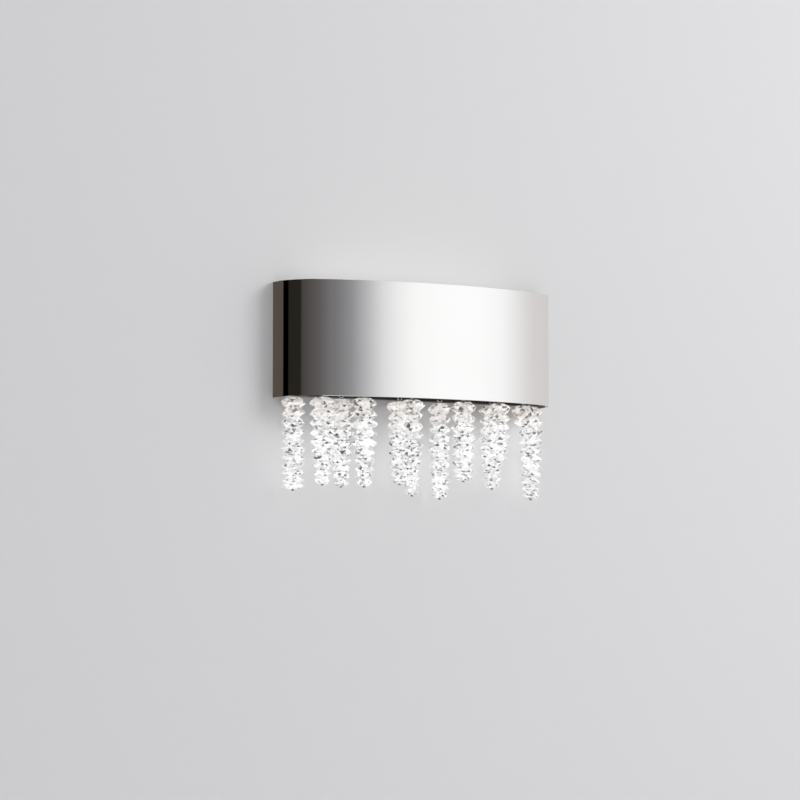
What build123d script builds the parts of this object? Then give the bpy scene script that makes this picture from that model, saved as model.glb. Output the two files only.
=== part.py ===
from build123d import *
import math
import os
import random

# A wall sconce: a polished steel band bowed out from the wall, open above and below, around a
# black mounting tray, an LED carrier and a plate from which twelve crystal strands hang.
# X runs along the wall, Y into the wall, Z up. The origin lies on the wall behind the middle
# of the band. All sizes are millimetres.

# Band
WIDTH = 305.0
DEPTH = 70.0
HEIGHT = 110.0
BAND_SHEET = 1.2
FRONT_RISE = 32.0  # how far the front arc would bow over the whole width
CORNER_RADIUS = 50.0

# Sheet-metal pieces behind the band
SHEET = 1.2
TRAY_WIDTH = 298.0
TRAY_HEIGHT = 106.0
TRAY_DEPTH = 11.0
TRAY_CORNER = 6.0
WIRE_HOLE = 22.0
PLATE_RECESS = 15.2  # from the band's lower rim up to the crystal plate
FRAME_RECESS = 10.0  # from the band's upper rim down to the diffuser's frame
SIDE_GAP = 0.4  # between the band and the plates inside it
FLANGE_HEIGHT = 12.0
FLANGE_WIDTH = 210.0
FLANGE_SCREW_X = 90.0
LEDGE = 12.0  # width of the upper frame's ledge, from the band inwards
TOP_DIFFUSER_INSET = 9.0
DIFFUSER_THICKNESS = 2.5

# Wall bracket
BAR_LENGTH = 252.0
BAR_WIDTH = 22.0
BAR_THICKNESS = 2.0
BAR_CENTRE_HOLE = 10.2
BAR_SLOT_X = 43.0
BAR_SLOT_LENGTH = 11.0
BAR_SLOT_WIDTH = 5.0
MOUNTING_SCREW_X = 118.0
MOUNTING_SCREW_DIAMETER = 4.0
MOUNTING_SCREW_HEAD = 8.0
MOUNTING_HOLE = 4.5
GROUND_SCREW_X = 20.0

# LED carrier and what it holds
CARRIER_LENGTH = 200.0
CARRIER_FRONT = 50.0
CARRIER_HEIGHT = 20.0
CARRIER_SHEET = 1.5
FOOT_HEIGHT = 12.0
FOOT_SCREW_X = 80.0
BOARD_LENGTH = 190.0
BOARD_WIDTH = 12.0
BOARD_THICKNESS = 1.6
BOARD_Y = -31.0
LEDS_PER_BOARD = 12
LED_PITCH = 14.0
LED_SIZE = (3.5, 2.8, 0.7)
DRIVER_SIZE = (80.0, 28.0, 15.0)
DRIVER_X = -55.0
TERMINAL_SIZE = (33.0, 18.0, 13.0)
TERMINAL_X = 60.0

# Downlight slot between the two rows of strands, and the lens over it
LIGHT_SLOT = (176.0, 11.0)
LIGHT_SLOT_Y = -32.0
LENS_LAP = 3.0
LENS_THICKNESS = 2.0

# Small screws
SCREW_DIAMETER = 3.0
SCREW_HEAD = 5.5
SCREW_HEAD_HEIGHT = 2.0
CLEARANCE_HOLE = 3.4
TAPPED_HOLE = 3.1
SMALL_HOLE_SIDES = 8  # small screw holes and shanks are drawn with flats
LUG_SCREW_ANGLE = 60.0  # along the corner arc, from the side towards the front
LUG_SCREW_INSET = 4.6
LUG_SIZE = 10.0
LUG_THICKNESS = 1.5

# Hanging parts of a strand
HOOK_TAB_WIDTH = 6.0
HOOK_TAB_DROP = 6.0
HOOK_HOLE = 3.2
HOOK_HOLE_DROP = 2.9
WIRE = 1.0
WIRE_PLAY = 0.35
RING_RADIUS = 3.2  # to the middle of the wire
LOOP_RADIUS = 2.6
LOOP_SIDES = 10
PIN_DIAMETER = 1.2
PIN_HEAD_DIAMETER = 3.2
PIN_HEAD_HEIGHT = 1.4
PIN_SIDES = 8

# Crystals
CRYSTAL_TOP_DROP = 0.3  # from the band's lower rim to the first crystal
CRYSTAL_SIDES = 6
CRYSTAL_TABLE = 0.6  # width of the flat table as a share of the crystal's width
CRYSTAL_BORE = 1.6
TOP_CRYSTAL_HEIGHT = 10.0
BOTTOM_CRYSTAL_HEIGHT = 6.0
TAPER_START = 0.35

# Each strand: x, distance from the wall, length below the rim, crystals, and the radii of its
# first crystal, of its body, and of its last crystal
STRANDS = [
    (-140.0, 17.0, 87.0, 11, 12.8, 11.8, 11.0),
    (-118.0, 34.0, 82.0, 10, 13.2, 13.0, 7.8),
    (-87.0, 17.0, 83.0, 10, 13.2, 12.8, 7.8),
    (-78.0, 44.0, 83.5, 10, 13.6, 13.2, 7.8),
    (-25.5, 46.0, 91.0, 11, 13.4, 10.8, 7.0),
    (-21.0, 17.0, 79.0, 10, 13.4, 12.8, 8.2),
    (25.0, 17.0, 92.0, 11, 12.8, 11.2, 9.0),
    (33.0, 46.0, 76.0, 9, 13.4, 12.6, 10.0),
    (76.0, 44.0, 56.0, 7, 12.8, 12.0, 9.0),
    (86.0, 17.0, 81.0, 10, 13.6, 13.0, 8.2),
    (112.0, 34.0, 20.0, 2, 12.4, 11.0, 10.0),
    (132.5, 17.0, 90.5, 11, 13.0, 12.4, 9.0),
]

# Heights worked out from the sizes above
RIM_BOTTOM = -HEIGHT / 2
RIM_TOP = HEIGHT / 2
PLATE_UNDERSIDE = RIM_BOTTOM + PLATE_RECESS
PLATE_TOP = PLATE_UNDERSIDE + SHEET
FRAME_TOP = RIM_TOP - FRAME_RECESS
FRAME_UNDERSIDE = FRAME_TOP - SHEET
TRAY_FRONT = -TRAY_DEPTH
FLANGE_FRONT = TRAY_FRONT - SHEET
RING_TOP = PLATE_UNDERSIDE - HOOK_HOLE_DROP - HOOK_HOLE / 2 + WIRE_PLAY + WIRE / 2
RING_BOTTOM = RING_TOP - 2 * RING_RADIUS
LOOP_CENTRE = RING_BOTTOM + WIRE + WIRE_PLAY - LOOP_RADIUS
FOOT_SCREW_Z = (CARRIER_HEIGHT + FOOT_HEIGHT) / 2
FLANGE_SCREW_HEIGHTS = (PLATE_TOP + FLANGE_HEIGHT / 2, FRAME_UNDERSIDE - FLANGE_HEIGHT / 2)

# Band outline: a shallow front arc that meets a tighter arc at each end
HALF_WIDTH = WIDTH / 2
FRONT_RADIUS = (HALF_WIDTH**2 + FRONT_RISE**2) / (2 * FRONT_RISE)
FRONT_CENTRE_Y = FRONT_RADIUS - DEPTH
CORNER_X = HALF_WIDTH - CORNER_RADIUS
CORNER_Y = FRONT_CENTRE_Y - math.sqrt((FRONT_RADIUS - CORNER_RADIUS) ** 2 - CORNER_X**2)


def band_outline(inset, back=0.0):
    """The face inside the band's plan outline, inset by a distance and cut off at y = back."""
    towards_corner = Vector(CORNER_X, CORNER_Y - FRONT_CENTRE_Y).normalized()
    side = HALF_WIDTH - inset
    join = Vector(0, FRONT_CENTRE_Y) + towards_corner * (FRONT_RADIUS - inset)
    left_join = Vector(-join.X, join.Y)
    front_middle = (0, FRONT_CENTRE_Y - FRONT_RADIUS + inset)
    bisector = math.atan2(-towards_corner.Y, towards_corner.X) / 2
    corner_mid = Vector(math.cos(bisector), -math.sin(bisector)) * (CORNER_RADIUS - inset)
    right_mid = (CORNER_X + corner_mid.X, CORNER_Y + corner_mid.Y)
    left_mid = (-right_mid[0], right_mid[1])
    face = make_face(
        Curve()
        + [
            Line((-side, 0), (-side, CORNER_Y)),
            ThreePointArc((-side, CORNER_Y), left_mid, left_join),
            ThreePointArc(left_join, front_middle, join),
            ThreePointArc(join, right_mid, (side, CORNER_Y)),
            Line((side, CORNER_Y), (side, 0)),
            Line((side, 0), (-side, 0)),
        ]
    )
    if back < 0:
        face = face & Pos(0, back - DEPTH / 2) * Rectangle(WIDTH, DEPTH)
    return face


def slab(face, bottom, top):
    """A plan face made solid between two heights."""
    return extrude(Pos(0, 0, bottom) * face, top - bottom)


def block(x, y, z):
    """A box between two limits along each axis."""
    middle = [(low + high) / 2 for low, high in (x, y, z)]
    sizes = [high - low for low, high in (x, y, z)]
    return Pos(*middle) * Box(*sizes)


def rod(start, direction, length, diameter):
    """A round bar, pin or hole that starts at a point and runs along an axis."""
    return extrude(Plane(start, z_dir=direction) * Circle(diameter / 2), length)


def prism(start, direction, length, flats, sides=SMALL_HOLE_SIDES):
    """A bar or hole with flat sides, given by its width across flats."""
    face = RegularPolygon(flats / 2, sides, major_radius=False)
    return extrude(Plane(start, z_dir=direction) * face, length)


def screw(seat, direction, length, diameter=SCREW_DIAMETER, head=SCREW_HEAD):
    """A hexagon-headed screw. The seat is under the head, and the shank runs along direction."""
    shank = prism(seat, direction, length, diameter)
    return shank + prism(seat, -Vector(*direction), SCREW_HEAD_HEIGHT, head, 6)


def save(name, shape):
    shape.label = name
    export_step(shape, os.path.join("parts", name + ".step"))


def group(solids):
    return Compound(children=solids)


def lug_window(side):
    """The plan area of one of the band's fixing lugs."""
    centre = lug_screw(side)
    turn = LUG_SCREW_ANGLE - 90 if side > 0 else 90 - LUG_SCREW_ANGLE
    return Pos(centre.X, centre.Y) * Rot(0, 0, -turn) * Rectangle(LUG_SIZE, 2 * LUG_SIZE)


def lug_screw(side):
    """Where a lug's screw stands in plan: a set distance inside the corner arc."""
    reach = CORNER_RADIUS - BAND_SHEET - LUG_SCREW_INSET
    angle = math.radians(LUG_SCREW_ANGLE)
    return Vector(side * (CORNER_X + reach * math.cos(angle)), CORNER_Y - reach * math.sin(angle))


def make_band():
    """The bent strip, with four lugs welded inside it, two above the crystal plate and two
    under the upper frame."""
    inner = BAND_SHEET
    strip = slab(band_outline(0) - band_outline(inner), RIM_BOTTOM, RIM_TOP)
    for side in (-1, 1):
        centre = lug_screw(side)
        leg = (band_outline(inner) - band_outline(inner + LUG_THICKNESS)) & lug_window(side)
        foot = (band_outline(inner) - band_outline(inner + 2 * LUG_SCREW_INSET)) & lug_window(side)
        tapped = prism((centre.X, centre.Y, PLATE_TOP), (0, 0, 1), LUG_THICKNESS, TAPPED_HOLE)
        strip += slab(leg, PLATE_TOP, PLATE_TOP + LUG_SIZE)
        strip += slab(foot, PLATE_TOP, PLATE_TOP + LUG_THICKNESS) - tapped
        strip += slab(leg, FRAME_UNDERSIDE - LUG_SIZE, FRAME_UNDERSIDE)
        strip += slab(foot, FRAME_UNDERSIDE - LUG_THICKNESS, FRAME_UNDERSIDE)
    return strip


def make_tray():
    """The shallow tray that the wall bracket carries, open towards the wall."""
    outline = RectangleRounded(TRAY_WIDTH, TRAY_HEIGHT, TRAY_CORNER)
    hollow = RectangleRounded(TRAY_WIDTH - 2 * SHEET, TRAY_HEIGHT - 2 * SHEET, TRAY_CORNER - SHEET)
    wall = Plane.XZ
    tray = extrude(wall * outline, TRAY_DEPTH)
    tray -= extrude(wall * hollow, TRAY_DEPTH - SHEET)
    tray -= rod((0, 0, 0), (0, -1, 0), TRAY_DEPTH, WIRE_HOLE)
    holes = []
    for side in (-1, 1):
        holes.append((side * MOUNTING_SCREW_X, 0, MOUNTING_HOLE))
        holes.append((side * FOOT_SCREW_X, FOOT_SCREW_Z, TAPPED_HOLE))
        for height in FLANGE_SCREW_HEIGHTS:
            holes.append((side * FLANGE_SCREW_X, height, TAPPED_HOLE))
    for x, z, diameter in holes:
        tray -= prism((x, 0, z), (0, -1, 0), TRAY_DEPTH, diameter)
    return tray


def make_crossbar():
    """The flat bar that screws to the wall's junction box through its two slots."""
    bar = block((-BAR_LENGTH / 2, BAR_LENGTH / 2), (-BAR_THICKNESS, 0), (-BAR_WIDTH / 2, BAR_WIDTH / 2))
    for side in (-1, 1):
        slot = Pos(side * BAR_SLOT_X, 0) * SlotOverall(BAR_SLOT_LENGTH, BAR_SLOT_WIDTH)
        bar -= extrude(Plane.XZ * slot, BAR_THICKNESS)
        tapped = MOUNTING_SCREW_DIAMETER + 0.1
        bar -= prism((side * MOUNTING_SCREW_X, 0, 0), (0, -1, 0), BAR_THICKNESS, tapped)
    bar -= rod((0, 0, 0), (0, -1, 0), BAR_THICKNESS, BAR_CENTRE_HOLE)
    bar -= prism((GROUND_SCREW_X, 0, 0), (0, -1, 0), BAR_THICKNESS, TAPPED_HOLE)
    return bar


def make_carrier():
    """The folded channel that holds a row of LEDs above and below, with two feet on the tray."""
    half = CARRIER_HEIGHT / 2
    t = CARRIER_SHEET
    section = Polyline(
        (TRAY_FRONT, half + FOOT_HEIGHT),
        (TRAY_FRONT - t, half + FOOT_HEIGHT),
        (TRAY_FRONT - t, half),
        (-CARRIER_FRONT, half),
        (-CARRIER_FRONT, -half),
        (TRAY_FRONT - t, -half),
        (TRAY_FRONT - t, -half - FOOT_HEIGHT),
        (TRAY_FRONT, -half - FOOT_HEIGHT),
        (TRAY_FRONT, -half + t),
        (-CARRIER_FRONT + t, -half + t),
        (-CARRIER_FRONT + t, half - t),
        (TRAY_FRONT, half - t),
        close=True,
    )
    channel = extrude(Plane.YZ * make_face(section), CARRIER_LENGTH / 2, both=True)
    for side in (-1, 1):
        foot_screw = (side * FOOT_SCREW_X, TRAY_FRONT, FOOT_SCREW_Z)
        channel -= prism(foot_screw, (0, -1, 0), CARRIER_SHEET, CLEARANCE_HOLE)
    return channel


def make_board(level):
    """One LED board, on the carrier's upper (1) or lower (-1) face."""
    low, high = sorted((level * CARRIER_HEIGHT / 2, level * (CARRIER_HEIGHT / 2 + BOARD_THICKNESS)))
    across = (BOARD_Y - BOARD_WIDTH / 2, BOARD_Y + BOARD_WIDTH / 2)
    return block((-BOARD_LENGTH / 2, BOARD_LENGTH / 2), across, (low, high))


def make_leds():
    """The light-emitting packages of both boards."""
    length, width, height = LED_SIZE
    face = CARRIER_HEIGHT / 2 + BOARD_THICKNESS
    packages = []
    for level in (-1, 1):
        for i in range(LEDS_PER_BOARD):
            x = (i - (LEDS_PER_BOARD - 1) / 2) * LED_PITCH
            packages.append(Pos(x, BOARD_Y, level * (face + height / 2)) * Box(length, width, height))
    return group(packages)


def make_driver():
    """The LED driver: a moulded case, bonded to the tray inside the carrier."""
    length, depth, height = DRIVER_SIZE
    across = (TRAY_FRONT - depth, TRAY_FRONT)
    case = block((DRIVER_X - length / 2, DRIVER_X + length / 2), across, (-height / 2, height / 2))
    return chamfer(case.edges().group_by(Axis.Y)[0], 2)


def make_terminal():
    """A three-pole terminal block with a wire entry above and below each pole."""
    length, depth, height = TERMINAL_SIZE
    across = (TRAY_FRONT - depth, TRAY_FRONT)
    body = block((TERMINAL_X - length / 2, TERMINAL_X + length / 2), across, (-height / 2, height / 2))
    pole = length / 3
    for i in (-1, 0, 1):
        x = TERMINAL_X + i * pole
        entry_y = TRAY_FRONT - depth / 3
        for low, high in ((-height / 2, -height / 2 + 5), (height / 2 - 5, height / 2)):
            body -= block((x - 2, x + 2), (entry_y - 2, entry_y + 2), (low, high))
        body -= block((x - 2, x + 2), (across[0], across[0] + 5), (-2, 2))
    return body


def hook_tab(x, y):
    """A tab lanced out of the crystal plate and bent down, with a hole for a strand's ring."""
    half = HOOK_TAB_WIDTH / 2
    drop = (PLATE_UNDERSIDE - HOOK_TAB_DROP, PLATE_UNDERSIDE)
    tab = block((x - half, x + half), (y - SHEET / 2, y + SHEET / 2), drop)
    bottom_corners = tab.edges().filter_by(Axis.Y).group_by(Axis.Z)[0]
    tab = chamfer(bottom_corners, 1.5)
    hole = (x, y - SHEET / 2, PLATE_UNDERSIDE - HOOK_HOLE_DROP)
    return tab - prism(hole, (0, 1, 0), SHEET, HOOK_HOLE)


def hook_window(x, y):
    """The window that a lanced tab leaves in the plate, in front of the tab."""
    front = y - SHEET / 2
    return Pos(x, front - HOOK_TAB_DROP / 2) * Rectangle(HOOK_TAB_WIDTH + 0.6, HOOK_TAB_DROP)


def make_crystal_plate():
    """The plate over the open underside, with a tab for each strand, the downlight slot, and a
    flange that screws to the tray."""
    face = band_outline(BAND_SHEET + SIDE_GAP, TRAY_FRONT)
    face -= Pos(0, LIGHT_SLOT_Y) * Rectangle(*LIGHT_SLOT)
    for x, out, *_ in STRANDS:
        face -= hook_window(x, -out)
    plate = slab(face, PLATE_UNDERSIDE, PLATE_TOP)
    for side in (-1, 1):
        centre = lug_screw(side)
        plate -= prism((centre.X, centre.Y, PLATE_UNDERSIDE), (0, 0, 1), SHEET, CLEARANCE_HOLE)
    plate += make_flange(PLATE_TOP, PLATE_TOP + FLANGE_HEIGHT)
    for x, out, *_ in STRANDS:
        plate += hook_tab(x, -out)
    return plate


def make_flange(low, high):
    """A plate's turned-up back edge, flat on the tray's face, with its screw holes."""
    flange = block((-FLANGE_WIDTH / 2, FLANGE_WIDTH / 2), (FLANGE_FRONT, TRAY_FRONT), (low, high))
    for side in (-1, 1):
        flange_screw = (side * FLANGE_SCREW_X, TRAY_FRONT, (low + high) / 2)
        flange -= prism(flange_screw, (0, -1, 0), SHEET, CLEARANCE_HOLE)
    return flange


def make_upper_frame():
    """The ledge that carries the upper diffuser, with a flange that screws to the tray."""
    face = band_outline(BAND_SHEET + SIDE_GAP, TRAY_FRONT)
    face -= band_outline(BAND_SHEET + LEDGE, TRAY_FRONT - LEDGE)
    frame = slab(face, FRAME_UNDERSIDE, FRAME_TOP)
    return frame + make_flange(FRAME_UNDERSIDE - FLANGE_HEIGHT, FRAME_UNDERSIDE)


def make_upper_diffuser():
    face = band_outline(BAND_SHEET + TOP_DIFFUSER_INSET, FLANGE_FRONT - 1)
    return slab(face, FRAME_TOP, FRAME_TOP + DIFFUSER_THICKNESS)


def make_lower_lens():
    length, width = LIGHT_SLOT
    face = Pos(0, LIGHT_SLOT_Y) * Rectangle(length + 2 * LENS_LAP, width + 2 * LENS_LAP)
    return slab(face, PLATE_TOP, PLATE_TOP + LENS_THICKNESS)


def make_screws():
    """The fasteners, by the piece that they hold."""
    into_wall = (0, 1, 0)
    carrier, flange, lugs, mounting = [], [], [], []
    for side in (-1, 1):
        carrier.append(screw((side * FOOT_SCREW_X, TRAY_FRONT - CARRIER_SHEET, FOOT_SCREW_Z), into_wall, 5))
        for height in FLANGE_SCREW_HEIGHTS:
            flange.append(screw((side * FLANGE_SCREW_X, FLANGE_FRONT, height), into_wall, 5))
        centre = lug_screw(side)
        lugs.append(screw((centre.X, centre.Y, PLATE_UNDERSIDE), (0, 0, 1), 6))
        seat = (side * MOUNTING_SCREW_X, TRAY_FRONT, 0)
        mounting.append(screw(seat, into_wall, TRAY_DEPTH, MOUNTING_SCREW_DIAMETER, MOUNTING_SCREW_HEAD))
    return {
        "carrier_screws": carrier,
        "plate_and_frame_screws": flange,
        "band_screws": lugs,
        "mounting_screws": mounting,
        "ground_screw": [screw((GROUND_SCREW_X, -BAR_THICKNESS, 0), into_wall, BAR_THICKNESS)],
    }


def wire_ring(centre, axis, radius):
    """A small closed ring of wire, drawn with flat sides."""
    apothem = radius / math.cos(math.pi / LOOP_SIDES)
    outer = RegularPolygon(apothem + WIRE / 2, LOOP_SIDES)
    inner = RegularPolygon(apothem - WIRE / 2, LOOP_SIDES)
    plane = Plane(centre, x_dir=(0, 0, 1), z_dir=axis)
    turned = plane * Rot(0, 0, 180 / LOOP_SIDES) * (outer - inner)
    return extrude(turned, WIRE / 2, both=True)


def make_ring(x, y):
    """The jump ring that hangs in a tab's hole."""
    return wire_ring((x, y, RING_TOP - RING_RADIUS), (1, 0, 0), RING_RADIUS)


def make_pin(x, y, end):
    """The head pin through a strand's crystals: a loop, a straight wire and a head under the
    last crystal."""
    loop = wire_ring((x, y, LOOP_CENTRE), (0, 1, 0), LOOP_RADIUS)
    start = LOOP_CENTRE - LOOP_RADIUS
    wire = RegularPolygon(PIN_DIAMETER / 2, PIN_SIDES)
    head = RegularPolygon(PIN_HEAD_DIAMETER / 2, PIN_SIDES)
    pin = loop + slab(Pos(x, y) * wire, end, start)
    return pin + slab(Pos(x, y) * head, end - PIN_HEAD_HEIGHT, end)


def crystal(x, y, top, height, radius, rng):
    """One rough-cut crystal: a flat table above and below, an uneven knife-edged girdle between
    them, flat facets all round, and a bore for the pin."""
    step = 2 * math.pi / CRYSTAL_SIDES
    start = rng.uniform(0, step)
    lean, lean_way = rng.uniform(0.02, 0.14), rng.uniform(0, 2 * math.pi)
    crown, girdle, base = [], [], []
    for i in range(CRYSTAL_SIDES):
        angle = start + i * step
        table = radius * CRYSTAL_TABLE * rng.uniform(0.8, 1.1)
        crown.append(Vector(x + table * math.cos(angle), y + table * math.sin(angle), top))
        table = radius * CRYSTAL_TABLE * rng.uniform(0.8, 1.1)
        base.append(Vector(x + table * math.cos(angle), y + table * math.sin(angle), top - height))
        edge_angle = angle + step * rng.uniform(0.3, 0.7)
        reach = radius * rng.uniform(0.88, 1.0)
        tilt = lean * reach * math.cos(edge_angle - lean_way) + rng.uniform(-0.08, 0.08) * height
        middle = top - height / 2 + tilt
        girdle.append(Vector(x + reach * math.cos(edge_angle), y + reach * math.sin(edge_angle), middle))
    faces = [Face(Wire.make_polygon(crown)), Face(Wire.make_polygon(base))]
    for i in range(CRYSTAL_SIDES):
        after = (i + 1) % CRYSTAL_SIDES
        for table in (crown, base):
            faces.append(Face(Wire.make_polygon([table[i], table[after], girdle[i]])))
            faces.append(Face(Wire.make_polygon([girdle[i], girdle[after], table[after]])))
    stone = Solid(Shell(faces))
    bore = Pos(x, y, top - height / 2) * Box(CRYSTAL_BORE, CRYSTAL_BORE, height + 1)
    return Part(stone.wrapped) - bore


def crystal_sizes(length, count, radii):
    """Heights and radii of a strand's crystals, from the top down. They get flatter downwards,
    and narrower from TAPER_START on."""
    first, body, last = radii
    heights, widths = [], []
    for i in range(count):
        t = i / (count - 1)
        heights.append(TOP_CRYSTAL_HEIGHT + (BOTTOM_CRYSTAL_HEIGHT - TOP_CRYSTAL_HEIGHT) * t)
        taper = max(0.0, (t - TAPER_START) / (1 - TAPER_START))
        widths.append(body + (last - body) * taper)
    scale = length / sum(heights)
    return [h * scale for h in heights], [first] + widths[1:]


def make_strand(number, x, out, length, count, *radii):
    """Writes a strand's ring, pin and crystals."""
    rng = random.Random(number)
    top = RIM_BOTTOM - CRYSTAL_TOP_DROP
    stones = []
    for height, radius in zip(*crystal_sizes(length - CRYSTAL_TOP_DROP, count, radii)):
        stones.append(crystal(x, -out, top, height, radius * rng.uniform(0.96, 1.0), rng))
        top -= height
    save(f"ring_{number:02d}", make_ring(x, -out))
    save(f"pin_{number:02d}", make_pin(x, -out, top))
    save(f"crystals_{number:02d}", group(stones))


os.makedirs("parts", exist_ok=True)
save("band", make_band())
save("wall_tray", make_tray())
save("crossbar", make_crossbar())
save("crystal_plate", make_crystal_plate())
save("upper_frame", make_upper_frame())
save("upper_diffuser", make_upper_diffuser())
save("lower_lens", make_lower_lens())
save("led_carrier", make_carrier())
save("upper_led_board", make_board(1))
save("lower_led_board", make_board(-1))
save("led_packages", make_leds())
save("led_driver", make_driver())
save("terminal_block", make_terminal())
for name, screws in make_screws().items():
    save(name, group(screws))
for number, strand in enumerate(STRANDS, 1):
    make_strand(number, *strand)
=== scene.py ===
import bmesh
import bpy
import math
import random
from mathutils import Matrix, Vector


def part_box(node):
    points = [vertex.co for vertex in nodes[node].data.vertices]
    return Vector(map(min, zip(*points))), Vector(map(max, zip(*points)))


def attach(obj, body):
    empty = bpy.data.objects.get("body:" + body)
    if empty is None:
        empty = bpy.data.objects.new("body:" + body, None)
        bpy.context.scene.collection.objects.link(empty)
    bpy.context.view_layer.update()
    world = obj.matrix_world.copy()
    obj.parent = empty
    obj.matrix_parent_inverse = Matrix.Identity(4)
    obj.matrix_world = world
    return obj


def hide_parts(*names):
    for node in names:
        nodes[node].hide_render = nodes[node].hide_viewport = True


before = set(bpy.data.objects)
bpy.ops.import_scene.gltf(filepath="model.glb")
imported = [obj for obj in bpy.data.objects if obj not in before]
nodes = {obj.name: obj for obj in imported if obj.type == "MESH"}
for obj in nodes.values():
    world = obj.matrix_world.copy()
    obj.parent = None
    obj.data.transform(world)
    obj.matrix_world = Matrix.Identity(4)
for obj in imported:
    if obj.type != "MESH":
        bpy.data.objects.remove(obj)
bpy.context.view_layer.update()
MM = 0.001


# Front band
# One strip of 1.2 mm steel, bent round two corners and bowed at the front, then polished like a
# mirror. Its rims are eased. Two lugs at each end sit against the plates, and the lower two are
# tapped for the screws that hold the band.
BAND_HALF = 152.5 * MM
BAND_RIM = 55.0 * MM
BAND_DEPTH = 70.0 * MM
BAND_SHEET = 1.2 * MM
FRONT_RISE = 32.0 * MM
CORNER_RADIUS = 50.0 * MM
RIM_EASE = 0.3 * MM
RIM_SUPPORT = 1.2 * MM
FRONT_STEPS = 72
CORNER_STEPS = 36
LUG_ANGLE = math.radians(60)
LUG_WIDTH = 10.0 * MM
LUG_HEIGHT = 10.0 * MM
LUG_SHEET = 1.5 * MM
LUG_REACH = 9.2 * MM
LUG_STEPS = 6
LOWER_LUG = -38.6 * MM
UPPER_LUG = 43.8 * MM

FRONT_RADIUS = (BAND_HALF**2 + FRONT_RISE**2) / (2 * FRONT_RISE)
FRONT_CENTRE = Vector((0, FRONT_RADIUS - BAND_DEPTH, 0))
CORNER_X = BAND_HALF - CORNER_RADIUS
CORNER_Y = FRONT_CENTRE.y - math.sqrt((FRONT_RADIUS - CORNER_RADIUS) ** 2 - CORNER_X**2)
FRONT_HALF_ANGLE = math.atan2(CORNER_X, FRONT_CENTRE.y - CORNER_Y)


class Shade:
    """A value or colour in a material. Sums written on it become the material's nodes."""

    def __init__(self, tree, socket=None):
        self.tree = tree
        self.socket = socket

    def node(self, kind, sockets=None, out=0, **settings):
        """Adds a node, with its settings first and then what its sockets hold or are fed."""
        made = self.tree.nodes.new("ShaderNode" + kind)
        for name, value in settings.items():
            if name == "stops":
                self.set_stops(made.color_ramp.elements, value)
            else:
                setattr(made, name, value)
        for name, value in (sockets or {}).items():
            self.feed(made.inputs[name], value)
        return Shade(self.tree, made.outputs[out])

    def set_stops(self, elements, stops):
        while len(elements) < len(stops):
            elements.new(0.5)
        for element, (place, colour) in zip(elements, stops):
            element.position = place
            element.color = (*colour, 1)

    def feed(self, target, value):
        if isinstance(value, Shade):
            self.tree.links.new(value.socket, target)
        else:
            target.default_value = value

    def maths(self, operation, first, second=0):
        return self.node("Math", {0: first, 1: second}, operation=operation)

    def __add__(self, other):
        return self.maths("ADD", self, other)

    def __radd__(self, other):
        return self.maths("ADD", other, self)

    def __sub__(self, other):
        return self.maths("SUBTRACT", self, other)

    def __rsub__(self, other):
        return self.maths("SUBTRACT", other, self)

    def __mul__(self, other):
        return self.maths("MULTIPLY", self, other)

    def __rmul__(self, other):
        return self.maths("MULTIPLY", other, self)

    def clamp(self):
        """This value, held between 0 and 1."""
        return self.node("Clamp", {"Value": self})

    def between(self, low, high):
        """This value, from 0 to 1, stretched to run from low to high."""
        return low + self * (high - low)

    def tint(self, dark, light):
        """A colour that goes from dark to light as this value goes from 0 to 1."""
        ends = [end if isinstance(end, Shade) else (*end, 1) for end in (dark, light)]
        both = {"Factor": self, "A": ends[0], "B": ends[1]}
        return self.node("Mix", both, out="Result", data_type="RGBA")

    def axes(self):
        """The three numbers of a place or a direction."""
        split = self.node("SeparateXYZ", {"Vector": self})
        return [Shade(self.tree, number) for number in split.socket.node.outputs]


def finish(name, **fixed):
    """A new material: its shader node, and a Shade on the object's own coordinates in metres."""
    material = bpy.data.materials.new(name)
    material.use_nodes = True
    tree = material.node_tree
    shader = tree.nodes["Principled BSDF"]
    for socket, value in fixed.items():
        shader.inputs[socket.replace("_", " ")].default_value = value
    place = Shade(tree).node("TexCoord", out="Object")
    return material, shader, place


def paint(shader, place, **varied):
    """Feeds what changes over the surface to the shader."""
    for socket, value in varied.items():
        place.feed(shader.inputs[socket.replace("_", " ")], value)


def grain(place, size, detail=3.0, stretch=(1, 1, 1)):
    """Soft noise whose features are about that size in metres, and longer where stretched."""
    scaled = place.node("Mapping", {"Vector": place, "Scale": [1 / s for s in stretch]})
    return place.node("TexNoise", {"Vector": scaled, "Scale": 1 / size, "Detail": detail})


def relief(height, depth, strength=1.0):
    """A bump of that depth in metres."""
    return height.node("Bump", {"Height": height, "Distance": depth, "Strength": strength})


def put(name, bm, material, body, stands_for, crease=35):
    """Makes a finished bmesh a piece that moves with its body. Folds past the crease are sharp."""
    mesh = bpy.data.meshes.new(name)
    bm.to_mesh(mesh)
    bm.free()
    mesh.shade_smooth()
    mesh.set_sharp_from_angle(angle=math.radians(crease))
    mesh.materials.append(material)
    piece = bpy.data.objects.new(name, mesh)
    bpy.context.scene.collection.objects.link(piece)
    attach(piece, body)
    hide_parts(*stands_for)
    return piece


def verts_of(geometry):
    return [item for item in geometry if isinstance(item, bmesh.types.BMVert)]


def edges_of(verts):
    """The edges at some vertices, each once, in the same order at every run."""
    return list(dict.fromkeys(edge for vert in verts for edge in vert.link_edges))


def profile(bm, corners):
    """A flat face from a few corner points."""
    return bm.faces.new([bm.verts.new(corner) for corner in corners])


def sweep(bm, geometry, centre, angle, steps):
    """Turns a profile about an upright axis and returns its far end."""
    return bmesh.ops.spin(
        bm, geom=geometry, cent=centre, axis=(0, 0, 1), angle=angle, steps=steps
    )["geom_last"]


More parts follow.
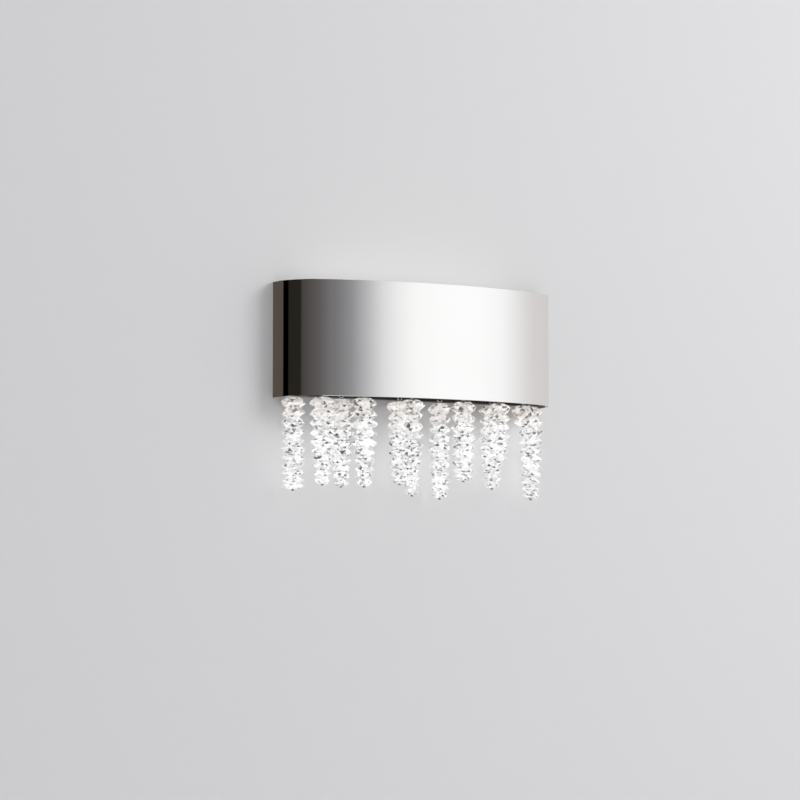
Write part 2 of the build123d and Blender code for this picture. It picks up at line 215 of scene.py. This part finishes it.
def run(bm, geometry, shift):
    """Extrudes a profile along a straight and returns its far end."""
    far = bmesh.ops.extrude_face_region(bm, geom=geometry)["geom"]
    bmesh.ops.translate(bm, verts=verts_of(far), vec=shift)
    return far


def lug(bm, side, seat, way):
    """One angle lug: a leg on the band's inner face and a foot that points inwards at its seat."""
    centre = Vector((side * CORNER_X, CORNER_Y, 0))
    outer = CORNER_RADIUS - BAND_SHEET
    leg, foot = outer - LUG_SHEET, outer - LUG_REACH
    outline = [(outer, 0), (outer, LUG_HEIGHT), (leg, LUG_HEIGHT)]
    outline += [(leg, LUG_SHEET), (foot, LUG_SHEET), (foot, 0)]
    half = LUG_WIDTH / 2 / outer
    start = -LUG_ANGLE - half if side > 0 else math.pi + LUG_ANGLE - half
    toward = Vector((math.cos(start), math.sin(start), 0))
    corners = [
        centre + toward * reach + Vector((0, 0, seat + way * rise)) for reach, rise in outline
    ]
    sweep(bm, [profile(bm, corners)], centre, 2 * half, LUG_STEPS)


def make_band():
    """The strip's section, swept along its left end, round the front and along its right end."""
    outer, inner = -BAND_HALF, BAND_SHEET - BAND_HALF
    ease, rim = RIM_EASE, BAND_RIM
    walls = [rim - ease, rim - RIM_SUPPORT, RIM_SUPPORT - rim, ease - rim]
    section = [(outer, z) for z in walls] + [(outer + ease, -rim), (inner - ease, -rim)]
    section += [(inner, z) for z in reversed(walls)] + [(inner - ease, rim), (outer + ease, rim)]
    bm = bmesh.new()
    strip = run(bm, [profile(bm, [(x, 0, z) for x, z in section])], (0, CORNER_Y, 0))
    corner = math.pi / 2 - FRONT_HALF_ANGLE
    strip = sweep(bm, strip, (-CORNER_X, CORNER_Y, 0), corner, CORNER_STEPS)
    strip = sweep(bm, strip, FRONT_CENTRE, 2 * FRONT_HALF_ANGLE, FRONT_STEPS)
    strip = sweep(bm, strip, (CORNER_X, CORNER_Y, 0), corner, CORNER_STEPS)
    run(bm, strip, (0, -CORNER_Y, 0))
    for side in (-1, 1):
        lug(bm, side, LOWER_LUG, 1)
        lug(bm, side, UPPER_LUG, -1)
    bmesh.ops.recalc_face_normals(bm, faces=bm.faces)
    return bm


def make_polished_steel():
    material, shader, place = finish("polished_steel", Metallic=1.0)
    haze = grain(place, size=50 * MM, detail=2.0)
    wipe = grain(place, size=4 * MM, detail=2.0, stretch=(12, 12, 1))
    paint(
        shader,
        place,
        Base_Color=haze.tint((0.955, 0.95, 0.945), (0.985, 0.985, 0.985)),
        Roughness=haze.between(0.015, 0.05) + wipe * 0.012,
        Normal=relief(wipe, depth=0.002 * MM, strength=0.5),
    )
    return material


put("polished_band", make_band(), make_polished_steel(), "fixture", ["band"])


# Wall tray, crystal plate and upper frame
# Folded 1.2 mm sheet with a fine black powder coat, which pits slightly like orange peel. The
# tray stands against the wall, and the two plates are screwed to its face.
def dress(material, *names):
    """Gives CAD nodes their finish."""
    for name in names:
        for holder in nodes[name].material_slots:
            holder.material = material


def make_powder_coat():
    material, shader, place = finish("black_powder_coat", Specular_IOR_Level=0.4)
    peel = grain(place, size=0.9 * MM, detail=2.0)
    cloud = grain(place, size=30 * MM)
    paint(
        shader,
        place,
        Base_Color=cloud.tint((0.012, 0.012, 0.013), (0.022, 0.021, 0.021)),
        Roughness=cloud.between(0.42, 0.58) + peel * 0.08,
        Normal=relief(peel, depth=0.04 * MM, strength=0.6),
    )
    return material


dress(make_powder_coat(), "wall_tray", "crystal_plate", "upper_frame")


# Crossbar
# The slotted bracket that is screwed to the wall box and carries the tray. It is pressed from
# 2 mm steel and has a bright zinc plating with a faint spangle.
def make_zinc():
    material, shader, place = finish("zinc_plate", Metallic=1.0)
    spangle = grain(place, size=6 * MM, detail=4.0)
    scratch = grain(place, size=0.6 * MM, detail=2.0, stretch=(20, 1, 1))
    paint(
        shader,
        place,
        Base_Color=spangle.tint((0.50, 0.53, 0.56), (0.70, 0.69, 0.64)),
        Roughness=spangle.between(0.22, 0.42) + scratch * 0.08,
        Normal=relief(scratch, depth=0.01 * MM, strength=0.5),
    )
    return material


dress(make_zinc(), "crossbar")


# Earth screw
# The screw in the crossbar that takes the earth wire. It is plated steel with a green dye over
# the zinc, darker in some places than in others.
def make_earth_green():
    material, shader, place = finish("earth_green", Metallic=0.55)
    wear = grain(place, size=1.2 * MM)
    paint(
        shader,
        place,
        Base_Color=wear.tint((0.02, 0.20, 0.07), (0.06, 0.34, 0.14)),
        Roughness=wear.between(0.25, 0.45),
    )
    return material


dress(make_earth_green(), "ground_screw")


# Screws
# Hexagon screws hold the plates, the carrier and the band, and two long ones hold the tray to
# the crossbar. Their zinc-nickel plating is grey and a little dull where the tool has turned.
def make_screw_steel():
    material, shader, place = finish("screw_steel", Metallic=1.0)
    wear = grain(place, size=1.1 * MM)
    paint(
        shader,
        place,
        Base_Color=wear.tint((0.42, 0.42, 0.43), (0.62, 0.61, 0.60)),
        Roughness=wear.between(0.22, 0.42),
        Normal=relief(wear, depth=0.01 * MM, strength=0.4),
    )
    return material


SCREWS = ("band_screws", "carrier_screws", "plate_and_frame_screws", "mounting_screws")
dress(make_screw_steel(), *SCREWS)


# Upper diffuser and lower lens
# Cast opal acrylic with a satin face. The boards behind light it, most strongly along the row
# of LEDs, and the narrow lens is brighter than the wide diffuser.
LED_PITCH = 14.0 * MM
LED_ROW_Y = -31.0 * MM
ROW_GLOW = 0.95
LED_RIPPLE = 0.03
# How fast the glow fades with the distance from the row, for each metre
GLOW_FADE = 24.0


def make_opal(name, glow_strength):
    material, shader, place = finish(name, IOR=1.49, Emission_Strength=glow_strength)
    along, across, _ = place.axes()
    ripple = along.maths("COSINE", along * (2 * math.pi / LED_PITCH))
    distance = across.maths("ABSOLUTE", across - LED_ROW_Y)
    glow = (1.0 - distance * GLOW_FADE) * ROW_GLOW + ripple * LED_RIPPLE
    satin = grain(place, size=1.2 * MM, detail=2.0)
    paint(
        shader,
        place,
        Base_Color=satin.tint((0.86, 0.86, 0.85), (0.92, 0.92, 0.91)),
        Roughness=satin.between(0.32, 0.46),
        Emission_Color=glow.clamp().tint((0.03, 0.029, 0.027), (1.0, 0.985, 0.95)),
        Normal=relief(satin, depth=0.01 * MM, strength=0.4),
    )
    return material


dress(make_opal("upper_opal", glow_strength=0.9), "upper_diffuser")
dress(make_opal("lower_opal", glow_strength=1.6), "lower_lens")


# LED carrier
# A folded channel of bare 1.5 mm aluminium that cools the boards. The rolling lines of the
# sheet run along it.
def make_aluminium():
    material, shader, place = finish("bare_aluminium", Metallic=1.0)
    lines = grain(place, size=0.5 * MM, stretch=(60, 1, 1))
    cloud = grain(place, size=20 * MM)
    paint(
        shader,
        place,
        Base_Color=cloud.tint((0.62, 0.63, 0.64), (0.76, 0.76, 0.76)),
        Roughness=cloud.between(0.26, 0.36) + lines * 0.12,
        Normal=relief(lines, depth=0.01 * MM, strength=0.5),
    )
    return material


dress(make_aluminium(), "led_carrier")


# LED boards and packages
# White-lacquered metal-core boards, whose copper tracks show as faint ridges, each with twelve
# small packages soldered on. The packages glow through a yellow phosphor.
TRACK_EDGE = 0.55


def make_board():
    material, shader, place = finish("board_lacquer", Specular_IOR_Level=0.5)
    speck = grain(place, size=0.8 * MM)
    streak = grain(place, size=2.5 * MM, detail=1.0, stretch=(40, 1, 1))
    track = streak.maths("GREATER_THAN", streak, TRACK_EDGE)
    paint(
        shader,
        place,
        Base_Color=(speck * 0.3 + track * 0.7).tint((0.84, 0.85, 0.84), (0.90, 0.90, 0.88)),
        Roughness=speck.between(0.30, 0.42),
        Normal=relief(track, depth=0.03 * MM, strength=0.5),
    )
    return material


def make_phosphor():
    material, shader, place = finish("led_phosphor", Emission_Strength=1.0)
    cell = grain(place, size=0.7 * MM, detail=2.0)
    paint(
        shader,
        place,
        Base_Color=cell.tint((0.86, 0.72, 0.22), (0.95, 0.88, 0.52)),
        Roughness=cell.between(0.35, 0.55),
        Emission_Color=cell.tint((0.70, 0.62, 0.38), (0.95, 0.90, 0.75)),
    )
    return material


dress(make_board(), "upper_led_board", "lower_led_board")
dress(make_phosphor(), "led_packages")


# LED driver and terminal block
# The driver is potted in a white moulded case, and the terminal block is a grey moulding. Both
# have the fine spark-eroded texture of their moulds.
def make_moulding(name, dark, light):
    material, shader, place = finish(name, Specular_IOR_Level=0.45)
    spark = grain(place, size=0.5 * MM, detail=2.0)
    cloud = grain(place, size=12 * MM)
    paint(
        shader,
        place,
        Base_Color=cloud.tint(dark, light),
        Roughness=spark.between(0.45, 0.65),
        Normal=relief(spark, depth=0.03 * MM, strength=0.5),
    )
    return material


dress(make_moulding("driver_case", (0.74, 0.74, 0.72), (0.82, 0.82, 0.80)), "led_driver")
dress(make_moulding("terminal_grey", (0.50, 0.50, 0.49), (0.60, 0.60, 0.585)), "terminal_block")


# Wire rings and head pins
# Each strand hangs by a closed ring of 1 mm wire from a tab of the crystal plate. The pin
# through its stones has a loop at the top and a small head under the last stone.
WIRE_RADIUS = 0.5 * MM
RING_RADIUS = 3.2 * MM
LOOP_RADIUS = 2.6 * MM
PIN_RADIUS = 0.6 * MM
PIN_HEAD_RADIUS = 1.5 * MM
PIN_HEAD_HEIGHT = 1.4 * MM
PIN_SIDES = 12
WIRE_SIDES = 8
WIRE_STEPS = 32
STRANDS = range(1, 13)


def wire_loop(bm, centre, radius, axis):
    """A closed ring of round wire about an axis."""
    upright = Vector((0, 0, 1))
    turn = Matrix((upright, Vector(axis).cross(upright), Vector(axis))).transposed().to_4x4()
    across = Matrix.Rotation(math.pi / 2, 4, "X")
    start = Matrix.Translation(centre) @ turn @ Matrix.Translation((radius, 0, 0)) @ across
    circle = bmesh.ops.create_circle(
        bm, radius=WIRE_RADIUS, segments=WIRE_SIDES, matrix=start
    )["verts"]
    bmesh.ops.spin(
        bm,
        geom=circle + edges_of(circle),
        cent=centre,
        axis=axis,
        angle=2 * math.pi,
        steps=WIRE_STEPS,
        use_merge=True,
    )


def make_pin(bm, x, y, top, low):
    """A pin's loop, straight wire and head."""
    wire_loop(bm, (x, y, top - WIRE_RADIUS - LOOP_RADIUS), LOOP_RADIUS, (0, 1, 0))
    start = top - 2 * (WIRE_RADIUS + LOOP_RADIUS) + WIRE_RADIUS
    for radius, high, end in (
        (PIN_RADIUS, start, low + PIN_HEAD_HEIGHT / 2),
        (PIN_HEAD_RADIUS, low + PIN_HEAD_HEIGHT, low),
    ):
        bmesh.ops.create_cone(
            bm,
            cap_ends=True,
            segments=PIN_SIDES,
            radius1=radius,
            radius2=radius,
            depth=high - end,
            matrix=Matrix.Translation((x, y, (high + end) / 2)),
        )


def make_hook_steel():
    material, shader, place = finish("hook_steel", Metallic=1.0)
    drawn = grain(place, size=0.8 * MM)
    paint(
        shader,
        place,
        Base_Color=drawn.tint((0.50, 0.49, 0.48), (0.72, 0.71, 0.70)),
        Roughness=drawn.between(0.12, 0.28),
    )
    return material


HOOK_STEEL = make_hook_steel()
for number in STRANDS:
    ring, pin, body = (f"{kind}_{number:02d}" for kind in ("ring", "pin", "strand"))
    low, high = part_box(ring)
    bm = bmesh.new()
    wire_loop(bm, (low + high) / 2, RING_RADIUS, (1, 0, 0))
    bmesh.ops.recalc_face_normals(bm, faces=bm.faces)
    put("wire_" + ring, bm, HOOK_STEEL, ring, [ring], crease=60)
    low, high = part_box(pin)
    bm = bmesh.new()
    make_pin(bm, (low.x + high.x) / 2, (low.y + high.y) / 2, high.z, low.z)
    bmesh.ops.recalc_face_normals(bm, faces=bm.faces)
    put("head_" + pin, bm, HOOK_STEEL, body, [pin], crease=50)


# Crystals
# Clear lead crystal, cut by hand into flat stones with a knife edge all round that no two share,
# drilled through and threaded on the pin table to table. They get flatter down the strand.
STONE_SIDES = 12
BORE_RADIUS = 0.8 * MM
BORE_TOLERANCE = 0.02 * MM
STONE_GAP = 0.12 * MM
FIRST_SEED = 100
# Each ring of corners from the upper table to the lower: height, width and unevenness
STONE_CUTS = (
    (1.00, 0.56, 0.10),
    (0.78, 0.80, 0.10),
    (0.50, 1.00, 0.08),
    (0.22, 0.80, 0.10),
    (0.00, 0.56, 0.10),
)
# Corners stand out less than they fall back. The girdle leans by a part of its reach and waves
# by a part of the stone's height.
OUTWARD_SHARE = 0.6
GIRDLE_LEAN = 0.1
GIRDLE_WAVE = 0.12
# Each facet gets a painted glint, for the light it would throw: most bright, some grey, a few dark
FACET_GLINTS = ((0.8, 1.0), (0.35, 0.7), (0.0, 0.12))
FACET_SHARES = (0.67, 0.21, 0.12)
# Painted refraction, as of far facets seen through near ones, breaks each facet into patches
INNER_FACET = 2.2 * MM
INNER_MIDDLE = 0.47
INNER_CONTRAST = 0.8
# Up under the band the stones get a painted warm shade, most of all where they are dark
WARM_FOOT = -83.0 * MM
WARM_HEIGHT = 20.0 * MM


def stone_places(strand, pin):
    """A strand's axis, and each stone's foot, top and reach, read from the CAD solids."""
    low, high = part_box(pin)
    axis = Vector(((low.x + high.x) / 2, (low.y + high.y) / 2, 0))
    points = [vert.co for vert in nodes[strand].data.vertices]
    reaches = [(point.z, (point.xy - axis.xy).length) for point in points]
    # The CAD bores are square, and two stones meet at the height of their corners
    bore_corner = BORE_RADIUS * math.sqrt(2)
    meeting = [z for z, reach in reaches if abs(reach - bore_corner) < BORE_TOLERANCE]
    levels = sorted({round(z, 6) for z in meeting})
    stones = []
    for foot, top in zip(levels, levels[1:]):
        widest = max(reach for z, reach in reaches if foot < z < top)
        stones.append((foot, top, widest))
    return axis, stones


def grow(bm, loop):
    """Extrudes a loop of edges and returns its new corners and its new loop."""
    grown = bmesh.ops.extrude_edge_only(bm, edges=loop)["geom"]
    corners = verts_of(grown)
    edges = [item for item in grown if isinstance(item, bmesh.types.BMEdge)]
    return corners, [edge for edge in edges if all(vert in corners for vert in edge.verts)]


def cut_stone(bm, axis, foot, top, widest, rng):
    """Adds one drilled stone to a strand, as rings of corners from its bore out and back."""
    height = top - foot
    lean = Vector([rng.uniform(-GIRDLE_LEAN, GIRDLE_LEAN) for _ in range(2)])
    turn = Matrix.Rotation(rng.uniform(0, 2 * math.pi), 4, "Z")
    half_side = Matrix.Rotation(math.pi / STONE_SIDES, 3, "Z")
    start = Matrix.Translation((axis.x, axis.y, top)) @ turn
    bore = bmesh.ops.create_circle(
        bm, radius=BORE_RADIUS, segments=STONE_SIDES, matrix=start
    )["verts"]
    first = loop = edges_of(bore)
    for number, (rise, width, uneven) in enumerate(STONE_CUTS):
        corners, loop = grow(bm, loop)
        if number > 0:
            bmesh.ops.rotate(bm, verts=corners, cent=(axis.x, axis.y, 0), matrix=half_side)
        for corner in corners:
            out = (corner.co.xy - axis.xy).normalized()
            spread = rng.uniform(-uneven, uneven * OUTWARD_SHARE)
            reach = widest * min(1.0, width * (1 + spread))
            wave = rng.uniform(-GIRDLE_WAVE, GIRDLE_WAVE) * height
            middle = 1 - abs(2 * rise - 1)
            corner.co.xy = axis.xy + out * reach
            corner.co.z = foot + height * rise + middle * (lean.dot(out) * reach + wave)
    corners, loop = grow(bm, loop)
    for corner in corners:
        corner.co.xy = axis.xy + (corner.co.xy - axis.xy).normalized() * BORE_RADIUS
    bmesh.ops.bridge_loops(bm, edges=first + loop)


def make_crystal():
    # The stones get a weak painted glow, strongest where their painted glints are bright
    material, shader, place = finish(
        "clear_crystal", IOR=1.54, Transmission_Weight=0.7, Emission_Strength=0.24
    )
    flaw = grain(place, size=3 * MM, detail=2.0)
    glint = place.node("Attribute", out="Fac", attribute_name="glint")
    # Painted refraction over the painted glints
    cells = {"Vector": place, "Scale": 1 / INNER_FACET}
    inner = place.node("TexVoronoi", cells, out="Color")
    bright = (glint + (inner - INNER_MIDDLE) * INNER_CONTRAST).clamp()
    # Painted warm shade up under the band's rim
    height = place.axes()[2]
    painted_rim_warmth = ((height - WARM_FOOT) * (1 / WARM_HEIGHT)).clamp()
    dark = painted_rim_warmth.tint((0.04, 0.04, 0.045), (0.11, 0.075, 0.045))
    clear = painted_rim_warmth.tint((1.0, 1.0, 1.0), (1.0, 0.98, 0.963))
    paint(
        shader,
        place,
        Base_Color=bright.tint(dark, clear),
        Roughness=flaw.between(0.0, 0.04),
        Emission_Color=bright.tint((0.0, 0.0, 0.0), clear),
    )
    return material


CRYSTAL = make_crystal()
for number in STRANDS:
    node, pin, body = (f"{kind}_{number:02d}" for kind in ("crystals", "pin", "strand"))
    rng = random.Random(FIRST_SEED + number)
    axis, stones = stone_places(node, pin)
    bm = bmesh.new()
    for foot, top, widest in stones:
        cut_stone(bm, axis, foot + STONE_GAP / 2, top - STONE_GAP / 2, widest, rng)
    bmesh.ops.triangulate(bm, faces=bm.faces)
    bmesh.ops.recalc_face_normals(bm, faces=bm.faces)
    # Each facet gets a painted glint, drawn from the shares above
    glint = bm.faces.layers.float.new("glint")
    # Operators may give the facets in any order, so they are taken by their places
    for facet in sorted(bm.faces, key=lambda facet: facet.calc_center_median()[:]):
        least, most = rng.choices(FACET_GLINTS, FACET_SHARES)[0]
        facet[glint] = rng.uniform(least, most)
    strand = put(f"cut_stones_{number:02d}", bm, CRYSTAL, body, [node], crease=1)
    # Light passes the real stones, which leave no dark shadows on the wall
    strand.visible_shadow = False


# Wall and floor
# A plain pale wall behind the light and a plain pale floor far below it. Each shows only from
# its own side, so that the back of the light can be seen too, and the metal mirrors neither.
STAGE_SIZE = 40.0
WALL_Y = 0.5 * MM
FLOOR_Z = -1.5
FLOOR_LIFT = 0.20


def make_plain(name, colour, lift=0.0):
    """A plain paint. The lift makes it look paler to the camera without lighting anything."""
    material, shader, place = finish(
        name,
        Base_Color=(*colour, 1),
        Roughness=0.85,
        Specular_IOR_Level=0.2,
        Emission_Strength=1.0,
    )
    seen = place.node("LightPath", out="Is Camera Ray")
    paint(shader, place, Emission_Color=seen.tint((0, 0, 0), (lift, lift, lift)))
    behind = place.node("NewGeometry", out="Backfacing")
    clear = place.node("BsdfTransparent")
    surface = Shade(place.tree, shader.outputs[0])
    mixed = place.node("MixShader", {0: behind, 1: surface, 2: clear})
    place.feed(material.node_tree.nodes["Material Output"].inputs[0], mixed)
    return material


def plane(name, matrix, material):
    """A large flat sheet of the stage."""
    bm = bmesh.new()
    bmesh.ops.create_grid(bm, x_segments=1, y_segments=1, size=STAGE_SIZE / 2, matrix=matrix)
    mesh = bpy.data.meshes.new(name)
    bm.to_mesh(mesh)
    bm.free()
    mesh.materials.append(material)
    made = bpy.data.objects.new(name, mesh)
    made.visible_glossy = False
    bpy.context.scene.collection.objects.link(made)


facing_room = Matrix.Translation((0, WALL_Y, 0)) @ Matrix.Rotation(math.pi / 2, 4, "X")
plane("pale_wall", facing_room, make_plain("pale_wall", (0.78, 0.78, 0.785)))
far_below = Matrix.Translation((0, 0, FLOOR_Z))
plane("pale_floor", far_below, make_plain("pale_floor", (0.90, 0.90, 0.90), lift=FLOOR_LIFT))


# Studio light
# A soft even room light, one large soft lamp from the right, and for what the metal and the
# crystal mirror, a long white screen to the right that fades to a dim room on the left.
ROOM_LIGHT = (0.62, 0.62, 0.63)
ROOM_SEEN = (0.71, 0.71, 0.715)
ROOM_THROUGH_STONES = (0.92, 0.92, 0.93)
# The screen's colours, by their bearing in degrees to the right of straight out from the wall
SCREEN = (
    (-180, (0.090, 0.077, 0.064)),
    (-121, (0.082, 0.070, 0.056)),
    (-119, (0.0, 0.0, 0.0)),
    (-105, (0.0, 0.0, 0.0)),
    (-104, (0.019, 0.017, 0.013)),
    (-74, (0.019, 0.017, 0.013)),
    (-72, (0.056, 0.050, 0.046)),
    (-33, (0.108, 0.100, 0.098)),
    (-4, (0.178, 0.172, 0.174)),
    (1, (0.275, 0.273, 0.283)),
    (6, (0.475, 0.475, 0.487)),
    (11, (0.71, 0.71, 0.72)),
    (16, (0.86, 0.86, 0.857)),
    (22, (0.965, 0.965, 0.96)),
    (31, (1.0, 1.0, 1.0)),
    (45, (1.0, 1.0, 1.0)),
    (54, (0.945, 0.945, 0.945)),
    (60, (0.82, 0.82, 0.82)),
    (65, (0.725, 0.712, 0.705)),
    (69, (0.668, 0.64, 0.633)),
    (180, (0.60, 0.575, 0.57)),
)


def light_room():
    """The even room light, which rays that mirror see as the screen."""
    world = bpy.data.worlds.new("studio")
    bpy.context.scene.world = world
    world.use_nodes = True
    backdrop = world.node_tree.nodes["Background"]
    way = Shade(world.node_tree).node("TexCoord", out="Generated")
    right, back, _ = way.axes()
    # The ramp of colours, from 0 to 1, is one whole turn
    bearing = way.maths("ARCTAN2", right, 0 - back) * (1 / (2 * math.pi)) + 0.5
    stops = [(angle / 360 + 0.5, colour) for angle, colour in SCREEN]
    screen = way.node("ValToRGB", {"Fac": bearing}, stops=stops)
    seen = way.node("LightPath", out="Is Camera Ray")
    through = way.node("LightPath", out="Is Transmission Ray")
    mirrored = way.node("LightPath", out="Is Glossy Ray")
    room = through.tint(seen.tint(ROOM_LIGHT, ROOM_SEEN), ROOM_THROUGH_STONES)
    way.feed(backdrop.inputs["Color"], mirrored.tint(room, screen))
    backdrop.inputs["Strength"].default_value = 1.0


def soft_lamp(name, place, aim, size, power):
    """A large square lamp that lights the object but shows in no mirror."""
    lamp = bpy.data.lights.new(name, "AREA")
    lamp.shape = "SQUARE"
    lamp.size = size
    lamp.energy = power
    holder = bpy.data.objects.new(name, lamp)
    turn = (Vector(aim) - Vector(place)).to_track_quat("-Z", "Y").to_matrix().to_4x4()
    holder.matrix_world = Matrix.Translation(place) @ turn
    holder.visible_glossy = False
    bpy.context.scene.collection.objects.link(holder)


light_room()
soft_lamp("key_lamp", place=(1.6, -2.0, 0.9), aim=(0, 0, -0.05), size=1.0, power=26)


# Camera
# It has the photograph's viewpoint: about 3 m away, 33 degrees to the left of the light and
# 26 cm below its middle, with a long lens.
CAMERA_DISTANCE = 3.0226
CAMERA_BEARING = math.radians(32.64)
CAMERA_HEIGHT = -0.26095
FOCAL_PIXELS = 3120.6
FRAME_PIXELS = 800
# Where the level line of sight to the light shows, right of and below the frame's middle
LEVEL_RIGHT = 408.6 - FRAME_PIXELS / 2
LEVEL_BELOW = 616.1 - FRAME_PIXELS / 2

camera = bpy.data.cameras.new("camera")
camera.sensor_width = 36.0
camera.lens = camera.sensor_width * FOCAL_PIXELS / FRAME_PIXELS
camera.clip_end = 100.0
stand = bpy.data.objects.new("camera", camera)
yaw = CAMERA_BEARING - math.atan(LEVEL_RIGHT / FOCAL_PIXELS)
pitch = math.pi / 2 + math.atan(LEVEL_BELOW / FOCAL_PIXELS)
stand.location = (
    -CAMERA_DISTANCE * math.sin(CAMERA_BEARING),
    -CAMERA_DISTANCE * math.cos(CAMERA_BEARING),
    CAMERA_HEIGHT,
)
stand.rotation_euler = (pitch, 0, -yaw)
bpy.context.scene.collection.objects.link(stand)
bpy.context.scene.camera = stand
bpy.context.scene.view_settings.view_transform = "Standard"
